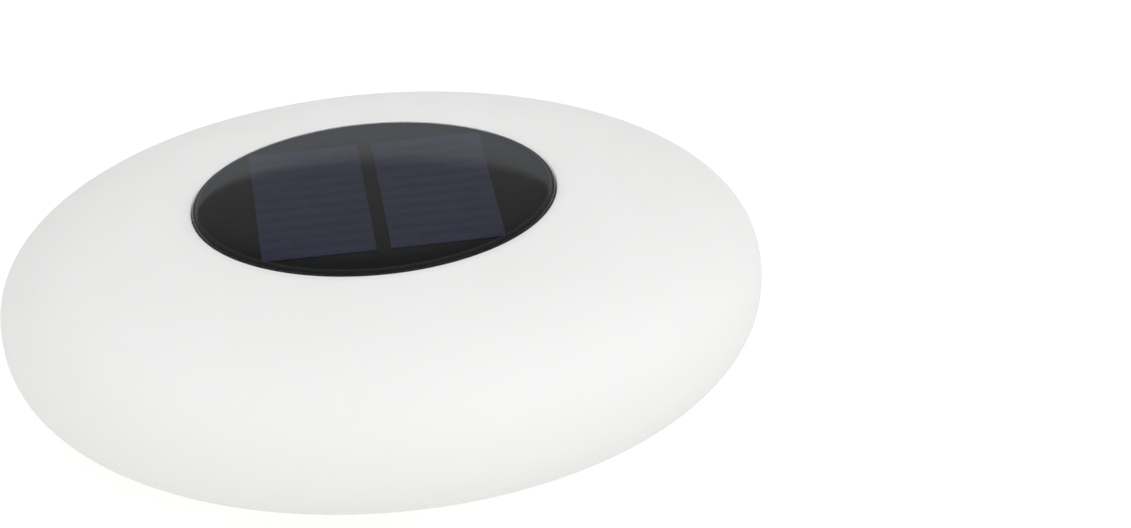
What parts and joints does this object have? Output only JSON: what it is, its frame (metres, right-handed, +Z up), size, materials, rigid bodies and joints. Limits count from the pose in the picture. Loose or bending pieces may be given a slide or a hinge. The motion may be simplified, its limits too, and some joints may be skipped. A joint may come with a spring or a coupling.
{
  "type": "floating pool light",
  "caption": "Round milky-white floating pool light with a twist-out solar cap holding cells, battery, light ring and push button, and a folding tether ring underneath.",
  "frame": {"origin": "centre of the flat foot that the light rests on", "axes": "+Z up along the shell's axis, the two solar cells side by side along X, and the power button under the cap on the -Y side"},
  "size_m": [0.3348, 0.3348, 0.0995],
  "materials": {
    "milky_plastic": "satin, slightly translucent",
    "clear_plastic": "clear, polished",
    "frosted_plastic": "frosted",
    "black_plastic": "fine texture",
    "chip_plastic": "moulded",
    "solar_cell": "dark slate-blue silicon with fine silver fingers",
    "black_laminate": "solder mask",
    "green_laminate": "solder mask",
    "white_laminate": "solder mask",
    "black_rubber": "matte",
    "grey_silicone": "matte",
    "stainless_steel": "fine brushed",
    "copper_wire": "enamelled winding",
    "battery_wrap": "shrink sleeve",
    "led_package": "phosphor gel in a white cup",
    "red_wire": "wire insulation",
    "black_wire": "wire insulation"
  },
  "bodies": {
    "float": {"float_shell": "milky_plastic", "neck_ring": "black_plastic", "neck_gasket": "grey_silicone", "neck_screw_1": "stainless_steel", "neck_screw_2": "stainless_steel", "neck_screw_3": "stainless_steel", "neck_screw_4": "stainless_steel", "neck_screw_5": "stainless_steel", "neck_screw_6": "stainless_steel", "tether_bracket": "black_plastic", "tether_screw_1": "stainless_steel", "tether_screw_2": "stainless_steel"},
    "seal": {"cap_seal": "black_rubber"},
    "solar_cap": {"lens_dome": "clear_plastic", "cap_housing": "black_plastic", "panel_board": "black_laminate", "solar_cell_left": "solar_cell", "solar_cell_right": "solar_cell", "panel_lead_red": "red_wire", "panel_lead_black": "black_wire", "module_base": "black_plastic", "module_seal": "grey_silicone", "module_screw_1": "stainless_steel", "module_screw_2": "stainless_steel", "module_screw_3": "stainless_steel", "module_screw_4": "stainless_steel", "battery_cell": "battery_wrap", "battery_spring": "stainless_steel", "battery_contact": "stainless_steel", "battery_lead_red": "red_wire", "battery_lead_black": "black_wire", "door_gasket": "grey_silicone", "battery_door": "black_plastic", "door_screw_1": "stainless_steel", "door_screw_2": "stainless_steel", "control_board": "green_laminate", "control_chip": "chip_plastic", "power_coil": "copper_wire", "storage_capacitor": "stainless_steel", "board_screw_1": "stainless_steel", "board_screw_2": "stainless_steel", "led_board": "white_laminate", "led_1": "led_package", "led_2": "led_package", "led_3": "led_package", "led_4": "led_package", "led_5": "led_package", "led_6": "led_package", "led_7": "led_package", "led_8": "led_package", "ir_receiver": "chip_plastic", "light_cover": "frosted_plastic", "led_cable": "black_wire", "button_boot": "black_rubber", "switch_body": "chip_plastic", "switch_board": "green_laminate"},
    "button": {"power_button": "black_rubber"},
    "bail": {"tether_ring": "stainless_steel"}
  },
  "joints": [
    {"name": "cap_lift", "type": "slide", "parent": "float", "child": "seal", "axis": [0, 0, 1], "range_m": [0, 0.016]},
    {"name": "cap_turn", "type": "hinge", "parent": "seal", "child": "solar_cap", "pos_m": [0, 0, 0.08], "axis": [0, 0, 1], "range_deg": [0, 240]},
    {"name": "power_button_press", "type": "slide", "parent": "solar_cap", "child": "button", "axis": [0, 0, 1], "range_m": [0, 0.0015]},
    {"name": "tether_ring_swing", "type": "hinge", "parent": "float", "child": "bail", "pos_m": [0, 0, 0.005], "axis": [-1, 0, 0], "range_deg": [0, 180]}
  ],
  "couplings": [
    {"joint": "cap_lift", "follows": "cap_turn", "m_per_rad": 0.0038197}
  ]
}
